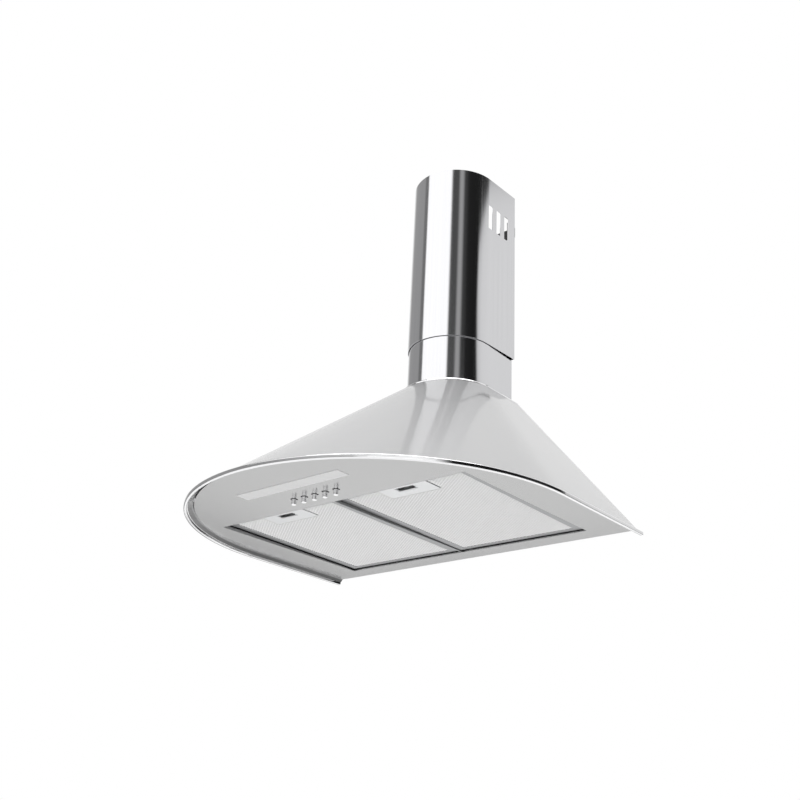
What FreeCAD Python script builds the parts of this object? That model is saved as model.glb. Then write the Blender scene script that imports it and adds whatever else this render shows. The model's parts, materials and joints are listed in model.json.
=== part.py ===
"""Wall-mounted chimney range hood with a curved canopy, as an assembly of separate pieces.

Millimetres. +X is to the right of somebody facing the hood, +Y points into the wall and +Z is up.
The wall is the plane y = 0. Heights in the functions are counted from the underside panel's lower
face, and save() lowers every piece so that the origin is the centre of the four wall screws.
"""
import FreeCAD, Part
import math
import os

V = FreeCAD.Vector
UP = V(0, 0, 1)
RIGHT = V(1, 0, 0)
BACK = V(0, 1, 0)

# ---- driving dimensions ---------------------------------------------------------------------
# Wall screws
ORIGIN_H = 140.0            # the origin's height above the underside panel
WALL_HOLE_R = 4.0
WALL_HOLE_X = 80.0          # half the spacing across
WALL_HOLE_Z = 60.0          # half the spacing up the wall

# Canopy: ruled between a rim outline and a collar outline, each two straight sides and an arc
RIM_HALF = 297.0            # the canopy's rulings start here, inside the rim bead
RIM_OUT = 300.0             # outer face of the bead
RIM_STRAIGHT = 210.0
RIM_H = -5.5
COLLAR_HALF = 82.0
COLLAR_STRAIGHT = 76.0
COLLAR_H = 252.0
SKIN_FLAT = 1.3             # the skin's thickness measured level
SKIN_LOW_H = -3.5
SKIN_TOP_H = 250.0
BEAD_WIDE = 5.0             # the bead is a flattened roll: its outer face is nearly upright
BEAD_TALL = 6.0
BEAD_CORNER = 1.5
BEAD_WALL = 0.8

# Top collar and chimney
COLLAR_PLATE = 2.5
COLLAR_EDGE = 1.0           # upright part of the collar's rim, below its bevel
COLLAR_BEVEL = 1.0          # how far the bevel leans in
SEAT_H = 4.0
CHIMNEY_HALF = 73.4
UPPER_BACK_Y = -2.0
LOWER_BACK_Y = -4.0
CHIMNEY_ARC_Y = -74.0
CHIMNEY_SHEET = 0.8
CHIMNEY_LIP = 12.0          # inward lip along the rear edges
LOWER_TOP_H = 512.0
UPPER_HALF = 75.4           # at the arc; the sides spread towards the wall
UPPER_FLARE = 2.2 / 72.0
UPPER_LOW_H = 334.1
UPPER_TOP_H = 660.5
SLOT_WIDE = 11.0
SLOT_TALL = 47.0
SLOT_LOW_H = 558.5
SLOT_YS = (-73.0, -50.5, -28.0)
BRACKET_LOW_H = 579.0
BRACKET_TALL = 20.0
BRACKET_HOLE_X = 45.0
BRACKET_HOLE_R = 3.0

# Underside panel
PANEL_SHEET = 1.0
PANEL_GAP = 2.1             # dark line between the panel and the canopy skin, in front
PANEL_SIDE_GAP = 4.7        # and along the two straight sides
PANEL_REAR_Y = -4.0
OPEN_X = 229.0
OPEN_FRONT_Y = -334.0
OPEN_REAR_Y = -37.0
RECESS_H = 14.0
FRONT_LIP_H = 4.5

# Lamp
LENS_X = 96.0
LENS_FRONT_Y = -427.0
LENS_REAR_Y = -404.0
LAMP_TRAY_X = 104.0
LAMP_TRAY_Y = (-437.0, -394.0)
LAMP_TRAY_H = 22.0
LED_COUNT = 12

# Push buttons
KEY_COUNT = 5
KEY_PITCH = 20.0
KEY_ROW_X = 2.5
KEY_ROW_Y = -371.5
KEY_R = 3.5
KEY_LONG = 8.5
KEY_HOLE_R = 5.25
KEY_COLLAR_R = 4.8
KEY_STEM_R = 2.0
SWITCH_X = 52.0
SWITCH_Y = 10.0
SWITCH_BASE_H = 14.0
SWITCH_TOP_H = 20.0

# Grease filters
FILTER_X = (2.5, 225.5)
FILTER_Y = (-332.5, -40.0)
FILTER_H = (2.8, 11.8)
FILTER_STRIP = 12.0
FILTER_REAR_STRIP = 9.0
FILTER_LIP = 0.8
FILTER_TILT = 0.63          # degrees; the front edge sits higher than the rear edge
FILTER_HINGE_Y = -45.0
FILTER_HINGE_H = 7.3
FILTER_PIN_R = 2.0
PIN_HOLE_R = 2.06
LATCH_HALF = 40.5
LATCH_REAR_Y = -288.0
LATCH_SLOT_X = 16.0
LATCH_SLOT_Y = (-316.5, -304.0)
LATCH_SLIDE_X = 20.0

# Blower
SCROLL_HALF = 48.0
SCROLL_WALL = 2.0
SCROLL_TOP_H = 246.0
OUTLET_Y = (-118.0, -30.0)
WHEEL_Y = -129.0
WHEEL_H = 128.0
WHEEL_R = 61.0
WHEEL_HALF = 40.0
BLADE_COUNT = 30
INLET_R = 50.0
SHAFT_R = 4.0
SHAFT_GAP = 0.05
MOTOR_X = (54.0, 104.0)
MOTOR_R = 38.0

# Outlet
SPIGOT_R = 60.0
SPIGOT_WALL = 2.0
SPIGOT_TOP_H = 312.0
FLAP_H = 288.0
FLAP_R = 56.5
FLAP_PIN_R = 1.5
FLAP_SHEET = 1.2
KNUCKLE = 12.7

# Electrics
GLAND_X = 57.0
GLAND_Y = -13.0
DRIVER_X = (-190.0, -110.0)
DRIVER_Y = (-378.0, -346.0)
BOX_X = (112.0, 184.0)
BOX_Y = (-33.0, -1.0)
BOX_H = (48.0, 94.0)

LEFT_RIGHT = (("left", -1), ("right", 1))


# ---- helpers --------------------------------------------------------------------------------
def save(name, shape):
    """Write one node, lowered from panel heights to the origin on the wall."""
    placed = shape.copy()
    placed.translate(V(0, 0, -ORIGIN_H))
    placed.exportStep("parts/%s.step" % name)
    box = placed.BoundBox
    print("%-22s solids %2d  valid %s  volume %10.1f  z %.1f..%.1f"
          % (name, len(placed.Solids), placed.isValid(), placed.Volume, box.ZMin, box.ZMax))


def block(xs, ys, hs):
    """Box between two x, two y and two heights."""
    corner = V(min(xs), min(ys), min(hs))
    return Part.makeBox(abs(xs[1] - xs[0]), abs(ys[1] - ys[0]), abs(hs[1] - hs[0]), corner)


def rod(radius, start, end):
    """Solid cylinder from one point to another."""
    way = end - start
    return Part.makeCylinder(radius, way.Length, start, way)


def tube(outer, inner, start, end):
    """Hollow cylinder from one point to another."""
    return rod(outer, start, end).cut(rod(inner, start, end))


def fuse(shapes):
    """One solid out of several touching ones."""
    joined = shapes[0].multiFuse(shapes[1:])
    return joined.removeSplitter()


def group(shapes):
    """Separate solids kept together: one node's, or the tools of one cut."""
    return Part.makeCompound(shapes)


def mirrored(shape):
    """The same piece on the other side of the middle plane."""
    return shape.mirror(V(0, 0, 0), RIGHT)


def u_edges(half, arc_y, back_y, h, flare=0.0):
    """Edges of an outline up one side, round the front arc and back; flare spreads the sides."""
    rear = half + flare * (back_y - arc_y)
    right_back = V(rear, back_y, h)
    right = V(half, arc_y, h)
    left = V(-half, arc_y, h)
    left_back = V(-rear, back_y, h)
    diagonal = half / math.sqrt(2.0)
    front = V(0, arc_y - half, h)
    return [Part.makeLine(right_back, right),
            Part.Arc(right, V(diagonal, arc_y - diagonal, h), front).toShape(),
            Part.Arc(front, V(-diagonal, arc_y - diagonal, h), left).toShape(),
            Part.makeLine(left, left_back)]


def u_wire(half, arc_y, back_y, h, flare=0.0):
    """Closed outline: the arc, both sides and a straight back."""
    rear = half + flare * (back_y - arc_y)
    closing = Part.makeLine(V(-rear, back_y, h), V(rear, back_y, h))
    return Part.Wire(u_edges(half, arc_y, back_y, h, flare) + [closing])


def u_ring_wire(half, thick, arc_y, back_y, h, flare=0.0):
    """Closed outline of a sheet that follows the arc and both sides and is open at the back."""
    rear = half + flare * (back_y - arc_y)
    outer = u_edges(half, arc_y, back_y, h, flare)
    inner = u_edges(half - thick, arc_y, back_y, h, flare)
    left_cap = Part.makeLine(V(-rear, back_y, h), V(thick - rear, back_y, h))
    right_cap = Part.makeLine(V(rear - thick, back_y, h), V(rear, back_y, h))
    return Part.Wire(outer + [left_cap] + inner[::-1] + [right_cap])


def u_prism(half, arc_y, back_y, low, high, flare=0.0):
    """Upright solid on the closed outline."""
    return Part.Face(u_wire(half, arc_y, back_y, low, flare)).extrude(V(0, 0, high - low))


def u_sheet(half, thick, arc_y, back_y, low, high, flare=0.0):
    """Upright sheet round the arc and both sides, open at the back."""
    return Part.Face(u_ring_wire(half, thick, arc_y, back_y, low, flare)).extrude(V(0, 0, high - low))


def section(h):
    """Canopy outline at a height: its half width and the y of its arc's centre."""
    share = (h - RIM_H) / (COLLAR_H - RIM_H)
    half = RIM_HALF + (COLLAR_HALF - RIM_HALF) * share
    straight = RIM_STRAIGHT + (COLLAR_STRAIGHT - RIM_STRAIGHT) * share
    return half, -straight


def canopy_inside(low, high):
    """Solid that fills the canopy between two heights, up to the skin's inner face."""
    wires = []
    for h in (low, high):
        half, arc_y = section(h)
        wires.append(u_wire(half - SKIN_FLAT, arc_y, 0.0, h))
    return Part.makeLoft(wires, True, True)


def rounded_path(points):
    """Wire of straight runs joined by tangent arcs, each as large as its two runs allow."""
    edges = []
    radii = []
    start = points[0]
    for before, corner, after in zip(points, points[1:], points[2:]):
        arriving = corner - before
        leaving = after - corner
        turn = arriving.getAngle(leaving)
        cut = 0.45 * min(arriving.Length, leaving.Length)
        radius = cut / math.tan(turn / 2.0)
        radii.append(radius)
        arriving.normalize()
        leaving.normalize()
        first = corner - arriving * cut
        last = corner + leaving * cut
        inward = (leaving - arriving).normalize()
        middle = corner + inward * (radius / math.cos(turn / 2.0) - radius)
        edges.append(Part.makeLine(start, first))
        edges.append(Part.Arc(first, middle, last).toShape())
        start = last
    edges.append(Part.makeLine(start, points[-1]))
    print("    bends of %s mm" % ", ".join("%.0f" % radius for radius in radii))
    return Part.Wire(edges)


def cable(radius, points):
    """Round lead along a route; prints its length and how its volume compares with it."""
    path = rounded_path(points)
    way = (points[1] - points[0]).normalize()
    ring = Part.Wire(Part.makeCircle(radius, points[0], way))
    lead = path.makePipeShell([ring], True, False)
    expected = math.pi * radius * radius * path.Length
    print("    lead %.0f mm long, volume ratio %.3f" % (path.Length, lead.Volume / expected))
    return lead


def spring(radius, wire, turns, length, base, way):
    """Compression spring with its axis from base along way, in arcs of a quarter turn."""
    quarters = 4 * turns
    climb = (length - 2.0 * wire) / quarters

    def at(quarter):
        angle = math.radians(90.0 * quarter)
        return V(radius * math.cos(angle), radius * math.sin(angle), wire + climb * quarter)

    arcs = [Part.Arc(at(i), at(i + 0.5), at(i + 1)).toShape() for i in range(quarters)]
    start = Part.makeCircle(wire / 2.0, at(0), V(0, radius * math.pi / 2.0, climb))
    coil = Part.Wire(arcs).makePipeShell([Part.Wire(start)], True, False)
    coil.Placement = FreeCAD.Placement(base, FreeCAD.Rotation(UP, way))
    return coil


# ---- canopy and chassis ---------------------------------------------------------------------
def canopy_shell():
    """Curved skin: two flat sides and a conical front, ruled from the rim up to the collar."""
    wires = []
    for h in (SKIN_LOW_H, SKIN_TOP_H):
        half, arc_y = section(h)
        wires.append(u_ring_wire(half, SKIN_FLAT, arc_y, 0.0, h))
    return Part.makeLoft(wires, True, True)


def rim_bead():
    """Hollow rolled edge round the rim, flattened, open at both ends against the wall."""
    def roll(inset):
        bar = u_sheet(RIM_OUT - inset, BEAD_WIDE - 2 * inset, -RIM_STRAIGHT, 0.0,
                      RIM_H - BEAD_TALL / 2.0 + inset, RIM_H + BEAD_TALL / 2.0 - inset)
        long = [edge for edge in bar.Edges
                if edge.BoundBox.ZLength < 0.01 and edge.BoundBox.YMin < -1.0]
        return bar.makeFillet(BEAD_CORNER - inset, long)
    return roll(0.0).cut(roll(BEAD_WALL))


def top_collar():
    """Cap on the canopy with a bevelled rim, the blower's outlet hole and the chimney's seat."""
    half, arc_y = section(SKIN_TOP_H)
    top = SKIN_TOP_H + COLLAR_PLATE
    shoulder = SKIN_TOP_H + COLLAR_EDGE
    edge = u_prism(half, arc_y, 0.0, SKIN_TOP_H, shoulder)
    bevel = Part.makeLoft([u_wire(half, arc_y, 0.0, shoulder),
                           u_wire(half - COLLAR_BEVEL, arc_y, 0.0, top)], True, True)
    seat = u_sheet(CHIMNEY_HALF - CHIMNEY_SHEET - 0.2, 1.0, CHIMNEY_ARC_Y, LOWER_BACK_Y - 2.0,
                   top, top + SEAT_H)
    outlet = block((-50, 50), (OUTLET_Y[0] - 2.0, OUTLET_Y[1] + 2.0), (SKIN_TOP_H, top))
    gland = rod(6.0, V(GLAND_X, GLAND_Y, SKIN_TOP_H - 1), V(GLAND_X, GLAND_Y, top + 1))
    return fuse([edge, bevel, seat]).cut(outlet).cut(gland)


def back_plate():
    """Sheet against the wall with four screw holes and a flange for the panel along its foot."""
    low, high = 2.0, SKIN_TOP_H
    low_half = section(low)[0] - SKIN_FLAT
    high_half = section(high)[0] - SKIN_FLAT
    corners = [V(-low_half, 0, low), V(low_half, 0, low), V(high_half, 0, high),
               V(-high_half, 0, high), V(-low_half, 0, low)]
    plate = Part.Face(Part.makePolygon(corners)).extrude(V(0, -1, 0))
    for x in (-WALL_HOLE_X, WALL_HOLE_X):
        for z in (-WALL_HOLE_Z, WALL_HOLE_Z):
            h = ORIGIN_H + z
            plate = plate.cut(rod(WALL_HOLE_R, V(x, -2, h), V(x, 1, h)))
    foot = block((-281, 281), (-30, 0), (PANEL_SHEET, 2.0))
    return fuse([plate, foot])


def key_xs():
    """Middle of each push button, from left to right."""
    first = KEY_ROW_X - KEY_PITCH * (KEY_COUNT - 1) / 2.0
    return [first + KEY_PITCH * i for i in range(KEY_COUNT)]


def underside_panel():
    """Flat panel with the filter recess, the lamp window and the push button holes."""
    half, arc_y = section(PANEL_SHEET / 2.0)
    half = half - SKIN_FLAT - PANEL_SIDE_GAP
    arc_y = arc_y - (PANEL_SIDE_GAP - PANEL_GAP)
    sheet = u_prism(half, arc_y, PANEL_REAR_Y, 0.0, PANEL_SHEET)
    outside = block((-OPEN_X - 1, OPEN_X + 1), (OPEN_FRONT_Y - 1, OPEN_REAR_Y + 1), (0.0, RECESS_H))
    front = block((-OPEN_X - 1, OPEN_X + 1), (OPEN_FRONT_Y - 1, OPEN_FRONT_Y), (FRONT_LIP_H, RECESS_H))
    inside = block((-OPEN_X, OPEN_X), (OPEN_FRONT_Y, OPEN_REAR_Y), (-1.0, RECESS_H + 1))
    panel = fuse([sheet, outside.cut(front)]).cut(inside)
    pins = rod(PIN_HOLE_R, V(-OPEN_X - 2, FILTER_HINGE_Y, FILTER_HINGE_H),
               V(OPEN_X + 2, FILTER_HINGE_Y, FILTER_HINGE_H))
    lens = block((-LENS_X - 0.2, LENS_X + 0.2), (LENS_FRONT_Y - 0.2, LENS_REAR_Y + 0.2), (-1, 2))
    holes = [rod(KEY_HOLE_R, V(x, KEY_ROW_Y, -1), V(x, KEY_ROW_Y, 2)) for x in key_xs()]
    return panel.cut(group([pins, lens] + holes))


def panel_clips():
    """Wedge clips that join the panel's edge to the canopy skin."""
    inside = canopy_inside(PANEL_SHEET, PANEL_SHEET + 9.0)
    half, arc_y = section(PANEL_SHEET)
    clips = []
    for angle in (20.0, 55.0, 90.0, 125.0, 160.0):
        box = block((half - 16.0, half + 10.0), (-9.0, 9.0), (PANEL_SHEET, PANEL_SHEET + 9.0))
        box.rotate(V(0, 0, 0), UP, -angle)
        box.translate(V(0, arc_y, 0))
        clips.append(box.common(inside))
    for side in (-1, 1):
        box = block((side * (half - 16.0), side * (half + 10.0)), (-110.0, -92.0),
                    (PANEL_SHEET, PANEL_SHEET + 9.0))
        clips.append(box.common(inside))
    return group(clips)


def filter_divider():
    """Tee rail between the two filters; both filters' inner pins turn in its one hole."""
    web = block((-1.5, 1.5), (OPEN_FRONT_Y, OPEN_REAR_Y), (1.5, 17.0))
    flange = block((-12, 12), (OPEN_FRONT_Y, OPEN_REAR_Y), (16.0, 17.0))
    hole = rod(PIN_HOLE_R, V(-3, FILTER_HINGE_Y, FILTER_HINGE_H), V(3, FILTER_HINGE_Y, FILTER_HINGE_H))
    return fuse([web, flange]).cut(hole)


# ---- lamp and switch ------------------------------------------------------------------------
def lamp_lens():
    """Frosted window, a little proud of the panel, with a flange that rests inside."""
    face = block((-LENS_X, LENS_X), (LENS_FRONT_Y, LENS_REAR_Y), (-0.3, PANEL_SHEET))
    flange = block((-LENS_X - 3, LENS_X + 3), (LENS_FRONT_Y - 3, LENS_REAR_Y + 3), (PANEL_SHEET, 2.2))
    return fuse([face, flange])


def lamp_housing():
    """Upturned tray over the lens that carries the lamp board."""
    outer = block((-LAMP_TRAY_X, LAMP_TRAY_X), LAMP_TRAY_Y, (PANEL_SHEET, LAMP_TRAY_H))
    inner = block((1 - LAMP_TRAY_X, LAMP_TRAY_X - 1), (LAMP_TRAY_Y[0] + 1, LAMP_TRAY_Y[1] - 1),
                  (0, LAMP_TRAY_H - 1))
    return outer.cut(inner)


def led_board():
    """Narrow lamp board with a row of light-emitting chips under it."""
    middle = (LENS_FRONT_Y + LENS_REAR_Y) / 2.0
    top = LAMP_TRAY_H - 1.0
    board = block((-90, 90), (middle - 7, middle + 7), (top - 1.6, top))
    chips = []
    for i in range(LED_COUNT):
        x = -82.5 + 15.0 * i
        chips.append(block((x - 2.5, x + 2.5), (middle - 2.5, middle + 2.5), (top - 2.8, top - 1.6)))
    return fuse([board] + chips)


def led_driver():
    """Small power supply for the lamp, on top of the panel."""
    case = block(DRIVER_X, DRIVER_Y, (PANEL_SHEET, 20.0))
    upright = [edge for edge in case.Edges if abs(edge.tangentAt(edge.FirstParameter).z) > 0.9]
    return case.makeFillet(3.0, upright)


def switch_base():
    """Lower half of the switch: a guide hole and a spring pocket for each button."""
    base = block((KEY_ROW_X - SWITCH_X, KEY_ROW_X + SWITCH_X),
                 (KEY_ROW_Y - SWITCH_Y, KEY_ROW_Y + SWITCH_Y), (PANEL_SHEET, SWITCH_BASE_H))
    tools = []
    for x in key_xs():
        tools.append(rod(KEY_R + 0.06, V(x, KEY_ROW_Y, 0), V(x, KEY_ROW_Y, 4)))
        tools.append(rod(5.2, V(x, KEY_ROW_Y, 3.0), V(x, KEY_ROW_Y, SWITCH_BASE_H + 1)))
    return base.cut(group(tools[0::2])).cut(group(tools[1::2]))


def switch_cover():
    """Upper half of the switch, with the stems' holes and a row of terminals."""
    cover = block((KEY_ROW_X - SWITCH_X, KEY_ROW_X + SWITCH_X),
                  (KEY_ROW_Y - SWITCH_Y, KEY_ROW_Y + SWITCH_Y), (SWITCH_BASE_H, SWITCH_TOP_H))
    blades = []
    for x in key_xs():
        blades.append(block((x - 2.4, x + 2.4), (KEY_ROW_Y - 8.2, KEY_ROW_Y - 7.4),
                            (SWITCH_TOP_H, SWITCH_TOP_H + 8)))
    stems = [rod(KEY_STEM_R + 0.06, V(x, KEY_ROW_Y, 10), V(x, KEY_ROW_Y, 30)) for x in key_xs()]
    return fuse([cover] + blades).cut(group(stems))


def push_button(x):
    """Round button with a domed edge, a collar that stops it and a stem that guides it."""
    barrel = rod(KEY_R, V(x, KEY_ROW_Y, -KEY_LONG), V(x, KEY_ROW_Y, 3.2))
    foot = [edge for edge in barrel.Edges if abs(edge.CenterOfMass.z + KEY_LONG) < 0.01]
    barrel = barrel.makeFillet(0.8, foot)
    collar = rod(KEY_COLLAR_R, V(x, KEY_ROW_Y, 3.1), V(x, KEY_ROW_Y, 4.6))
    stem = rod(KEY_STEM_R, V(x, KEY_ROW_Y, 4.0), V(x, KEY_ROW_Y, SWITCH_TOP_H))
    return fuse([barrel, collar, stem])


def button_spring(x):
    """Return spring round a button's stem, under the switch cover."""
    return spring(3.3, 0.5, 5, SWITCH_BASE_H - 4.6, V(x, KEY_ROW_Y, 4.6), UP)


# ---- grease filters -------------------------------------------------------------------------
def placed_filter_piece(shape, side):
    """Tilt a piece of the right filter about the hinge, or mirror it into the left one."""
    tilted = shape.copy()
    tilted.rotate(V(0, FILTER_HINGE_Y, FILTER_HINGE_H), RIGHT, -FILTER_TILT)
    if side < 0:
        return mirrored(tilted)
    return tilted


def filter_middle():
    """Middle of the right filter, across."""
    return (FILTER_X[0] + FILTER_X[1]) / 2.0


def filter_frame():
    """Folded channel round the filter, with a hinge pin on each side and the latch's notch."""
    outer = block(FILTER_X, FILTER_Y, FILTER_H)
    window = block((FILTER_X[0] + FILTER_STRIP, FILTER_X[1] - FILTER_STRIP),
                   (FILTER_Y[0] + FILTER_STRIP, FILTER_Y[1] - FILTER_REAR_STRIP),
                   (FILTER_H[0] - 1, FILTER_H[1] + 1))
    channel = block((FILTER_X[0] + 1, FILTER_X[1] - 1), (FILTER_Y[0] + 1, FILTER_Y[1] - 1),
                    (FILTER_H[0] + FILTER_LIP, FILTER_H[1] - FILTER_LIP))
    middle = filter_middle()
    notch = block((middle - 12, middle + 12), (FILTER_Y[0] - 1, FILTER_Y[0] + 2),
                  (FILTER_H[0] + FILTER_LIP, 5.3))
    frame = outer.cut(window).cut(channel).cut(notch)
    pins = [rod(FILTER_PIN_R, V(0.4, FILTER_HINGE_Y, FILTER_HINGE_H),
                V(FILTER_X[0] + 0.6, FILTER_HINGE_Y, FILTER_HINGE_H)),
            rod(FILTER_PIN_R, V(FILTER_X[1] - 0.6, FILTER_HINGE_Y, FILTER_HINGE_H),
                V(OPEN_X + 1, FILTER_HINGE_Y, FILTER_HINGE_H))]
    return fuse([frame] + pins)


def filter_mesh():
    """Three layers of expanded metal held in the frame's channel; two stop short of the latch."""
    sheet = 0.6
    xs = (FILTER_X[0] + 1, FILTER_X[1] - 1)
    ys = (FILTER_Y[0] + 1, FILTER_Y[1] - 1)
    middle = filter_middle()
    room = block((middle - LATCH_HALF - 1.2, middle + LATCH_HALF + 1.2),
                 (FILTER_Y[0], LATCH_REAR_Y + 1.2), (0, 9))
    low = FILTER_H[0] + FILTER_LIP
    high = FILTER_H[1] - FILTER_LIP - sheet
    layers = []
    for h in (low, (low + high) / 2.0, high):
        layers.append(block(xs, ys, (h, h + sheet)).cut(room))
    return group(layers)


def latch_plate():
    """Smooth plate at the filter's front edge with the finger slot and a wall behind it."""
    middle = filter_middle()
    low = FILTER_H[0]
    front = FILTER_Y[0] + FILTER_STRIP
    plate = block((middle - LATCH_HALF, middle + LATCH_HALF), (front, LATCH_REAR_Y), (low, low + 0.8))
    slot = block((middle - LATCH_SLOT_X, middle + LATCH_SLOT_X), LATCH_SLOT_Y, (low - 1, low + 2))
    wall = block((middle - LATCH_HALF, middle + LATCH_HALF), (LATCH_REAR_Y - 1, LATCH_REAR_Y),
                 (low, FILTER_H[1] - FILTER_LIP - 0.6))
    return fuse([plate, wall]).cut(slot)


def filter_latch():
    """Sliding pull: a tongue in front, a window with a turned-down finger lip, a tab behind."""
    middle = filter_middle()
    low = FILTER_H[0] + FILTER_LIP + 0.1
    slide = block((middle - LATCH_SLIDE_X, middle + LATCH_SLIDE_X), (-331.0, -303.0), (low, low + 1.2))
    tongue = block((middle - 11, middle + 11), (-333.6, -330.0), (low, low + 1.2))
    window = block((middle - LATCH_SLOT_X + 1.5, middle + LATCH_SLOT_X - 1.5), (-316.5, -309.5), (0, 9))
    lip = block((middle - LATCH_SLOT_X + 1.5, middle + LATCH_SLOT_X - 1.5), (-309.5, -308.5),
                (FILTER_H[0] - 1.6, low + 1.2))
    tab = block((middle - 10, middle + 10), (-304.0, -303.0), (low, 9.6))
    return fuse([slide.cut(window), tongue, lip, tab])


def latch_spring():
    """Spring between the latch's tab and the wall of the latch plate."""
    base = V(filter_middle(), -303.0, 7.0)
    return spring(2.2, 0.5, 5, LATCH_REAR_Y - 1.0 + 303.0, base, BACK)


# ---- chimney --------------------------------------------------------------------------------
def sleeve(half, back_y, low, high, flare=0.0):
    """Bent chimney sheet with its two rear lips turned inwards."""
    rear = half + flare * (back_y - CHIMNEY_ARC_Y)
    sheet = u_sheet(half, CHIMNEY_SHEET, CHIMNEY_ARC_Y, back_y, low, high, flare)
    full = u_prism(half, CHIMNEY_ARC_Y, back_y, low, high, flare)
    lips = [block((side * (rear - CHIMNEY_LIP), side * (rear + 1)), (back_y - CHIMNEY_SHEET, back_y),
                  (low, high)).common(full) for side in (-1, 1)]
    return fuse([sheet] + lips)


def chimney_lower():
    """Inner sleeve that stands on the collar."""
    return sleeve(CHIMNEY_HALF, LOWER_BACK_Y, SKIN_TOP_H + COLLAR_PLATE, LOWER_TOP_H)


def chimney_upper():
    """Outer sleeve with three vent slots in each side; it slides over the lower one."""
    outer = sleeve(UPPER_HALF, UPPER_BACK_Y, UPPER_LOW_H, UPPER_TOP_H, UPPER_FLARE)
    rear = UPPER_HALF + UPPER_FLARE * (UPPER_BACK_Y - CHIMNEY_ARC_Y)
    tools = []
    for side in (-1, 1):
        for y in SLOT_YS:
            tools.append(block((side * (UPPER_HALF - 3), side * (UPPER_HALF + 3)),
                               (y - SLOT_WIDE / 2.0, y + SLOT_WIDE / 2.0),
                               (SLOT_LOW_H, SLOT_LOW_H + SLOT_TALL)))
        tools.append(block((side * (rear - CHIMNEY_LIP - 1), side * (rear - CHIMNEY_SHEET)),
                           (UPPER_BACK_Y - 2, 1), (BRACKET_LOW_H - 4, BRACKET_LOW_H + BRACKET_TALL + 4)))
    return outer.cut(group(tools))


def chimney_bracket():
    """Strip on the wall whose two ears grip the upper sleeve from inside."""
    inside = UPPER_HALF - CHIMNEY_SHEET
    high = BRACKET_LOW_H + BRACKET_TALL
    full = u_prism(inside, CHIMNEY_ARC_Y, 0.0, BRACKET_LOW_H, high, UPPER_FLARE)
    room = u_prism(inside - 1.6, CHIMNEY_ARC_Y, -1.8, BRACKET_LOW_H, high, UPPER_FLARE)
    keep = block((-90, 90), (-22, 0), (BRACKET_LOW_H, high))
    middle = BRACKET_LOW_H + BRACKET_TALL / 2.0
    holes = [rod(BRACKET_HOLE_R, V(x, -4, middle), V(x, 2, middle)) for x in (-BRACKET_HOLE_X, BRACKET_HOLE_X)]
    return full.common(keep).cut(room).cut(group(holes))


def chimney_guides():
    """Nylon pads on the lower sleeve that keep the upper one from rattling."""
    reach = UPPER_HALF - CHIMNEY_SHEET - 0.3
    core = u_prism(CHIMNEY_HALF, CHIMNEY_ARC_Y, LOWER_BACK_Y, LOWER_TOP_H - 30, LOWER_TOP_H)
    outer = u_prism(reach, CHIMNEY_ARC_Y, LOWER_BACK_Y, LOWER_TOP_H - 30, LOWER_TOP_H, UPPER_FLARE)
    hs = (LOWER_TOP_H - 22, LOWER_TOP_H - 6)
    boxes = [block((side * 60, side * 90), (y - 8, y + 8), hs) for side in (-1, 1) for y in (-60.0, -20.0)]
    boxes.append(block((-8, 8), (CHIMNEY_ARC_Y - 90, CHIMNEY_ARC_Y), hs))
    return group([box.common(outer).cut(core) for box in boxes])


# ---- blower ---------------------------------------------------------------------------------
def scroll_face(inset, x):
    """Side outline of the blower housing, drawn in a plane across x; inset moves it inwards."""
    tongue_y = OUTLET_Y[0] + inset
    rear_y = OUTLET_Y[1] - inset
    growth = 10.0
    first = 75.0 - inset
    a_y, a_h = rear_y - growth - 95.0 + inset, 125.0
    b_y, c_h = a_y + growth, a_h + growth
    root = math.sqrt(0.5)

    def at(y, h):
        return V(x, y, h)

    def arc(cy, ch, radius, start, end):
        middle = math.radians((start + end) / 2.0)
        first_angle, last_angle = math.radians(start), math.radians(end)
        ends = [at(cy + radius * math.cos(t), ch + radius * math.sin(t))
                for t in (first_angle, middle, last_angle)]
        return Part.Arc(ends[0], ends[1], ends[2]).toShape()

    shoulder = a_h + first
    nose = 8.0
    nose_centre = (tongue_y - nose, shoulder + nose)
    nose_middle = (nose_centre[0] + nose * root, nose_centre[1] - nose * root)
    edges = [Part.makeLine(at(rear_y, SCROLL_TOP_H), at(tongue_y, SCROLL_TOP_H)),
             Part.makeLine(at(tongue_y, SCROLL_TOP_H), at(tongue_y, shoulder + nose)),
             Part.Arc(at(tongue_y, shoulder + nose), at(*nose_middle), at(tongue_y - nose, shoulder)).toShape(),
             Part.makeLine(at(tongue_y - nose, shoulder), at(a_y, shoulder)),
             arc(a_y, a_h, first, 90, 180),
             arc(b_y, a_h, first + growth, 180, 270),
             arc(b_y, c_h, first + 2 * growth, 270, 360),
             Part.makeLine(at(rear_y, c_h), at(rear_y, SCROLL_TOP_H))]
    return Part.Face(Part.Wire(edges))


def blower_half(side):
    """One half of the spiral housing: a side wall with a bell-mouthed inlet and half of the rim."""
    outer = scroll_face(0.0, 0.0).extrude(V(side * SCROLL_HALF, 0, 0))
    inner = scroll_face(SCROLL_WALL, 0.0).extrude(V(side * (SCROLL_HALF - SCROLL_WALL), 0, 0))
    mouth = block((0, side * (SCROLL_HALF - SCROLL_WALL)),
                  (OUTLET_Y[0] + SCROLL_WALL, OUTLET_Y[1] - SCROLL_WALL), (SCROLL_TOP_H - 20, SCROLL_TOP_H + 1))
    def inlet(radius, first, last):
        return rod(radius, V(side * first, WHEEL_Y, WHEEL_H), V(side * last, WHEEL_Y, WHEEL_H))

    bell = [inlet(INLET_R, SCROLL_HALF - 5, SCROLL_HALF), inlet(INLET_R + 5, SCROLL_HALF, SCROLL_HALF + 2)]
    half = fuse([outer.cut(inner).cut(mouth)] + bell)
    return half.cut(inlet(INLET_R - 2, SCROLL_HALF - 6, SCROLL_HALF + 6))


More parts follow.
